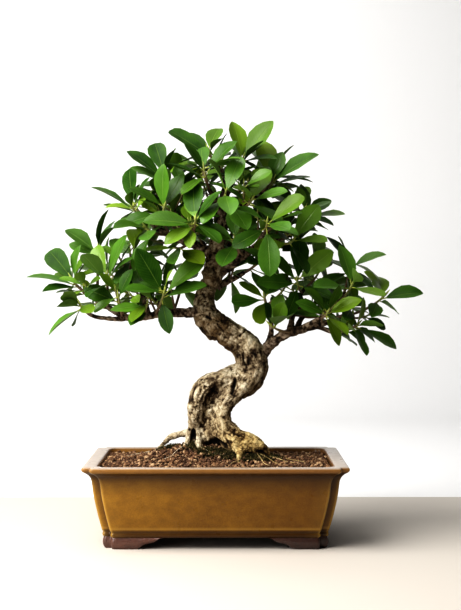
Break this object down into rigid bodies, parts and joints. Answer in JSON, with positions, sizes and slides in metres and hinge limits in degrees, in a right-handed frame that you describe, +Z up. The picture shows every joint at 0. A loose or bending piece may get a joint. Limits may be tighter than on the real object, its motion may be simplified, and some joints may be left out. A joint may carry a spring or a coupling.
{
  "type": "bonsai ginseng ficus in a pot",
  "caption": "Small fig tree trained as a bonsai, with an S-shaped trunk on fused roots, leafy shoots, and a rectangular glazed pot with bracket feet.",
  "frame": {"origin": "middle of the whole tree's box in plan, at the level of the surface the pot stands on", "axes": "+Z up; the pot's long front faces -Y; +X is to the right as seen from the front"},
  "size_m": [0.4718, 0.2486, 0.4961],
  "materials": {
    "glaze": "gloss",
    "bark": "matte",
    "mesh": "matte",
    "soil": "matte",
    "leaf": "satin"
  },
  "bodies": {
    "root": {"pot": "glaze", "trunk": "bark", "drain_screen_left": "mesh", "drain_screen_right": "mesh", "soil": "soil", "shoot_01": "leaf", "shoot_02": "leaf", "shoot_03": "leaf", "shoot_04": "leaf", "shoot_05": "leaf", "shoot_06": "leaf", "shoot_07": "leaf", "shoot_08": "leaf", "shoot_09": "leaf", "shoot_10": "leaf", "shoot_11": "leaf", "shoot_12": "leaf", "shoot_13": "leaf", "shoot_14": "leaf", "shoot_15": "leaf", "shoot_16": "leaf", "shoot_17": "leaf", "shoot_18": "leaf", "shoot_19": "leaf", "shoot_20": "leaf", "shoot_21": "leaf", "shoot_22": "leaf", "shoot_23": "leaf", "shoot_24": "leaf", "shoot_25": "leaf", "shoot_26": "leaf", "shoot_27": "leaf", "shoot_28": "leaf", "shoot_29": "leaf", "shoot_30": "leaf", "shoot_31": "leaf", "shoot_32": "leaf", "shoot_33": "leaf", "shoot_34": "leaf", "shoot_35": "leaf", "shoot_36": "leaf", "shoot_37": "leaf", "shoot_38": "leaf", "shoot_39": "leaf", "shoot_40": "leaf", "shoot_41": "leaf", "shoot_42": "leaf", "shoot_43": "leaf", "shoot_44": "leaf", "shoot_45": "leaf", "shoot_46": "leaf", "shoot_47": "leaf", "shoot_48": "leaf", "shoot_49": "leaf", "shoot_50": "leaf", "shoot_51": "leaf", "shoot_52": "leaf", "shoot_53": "leaf"}
  },
  "joints": []
}
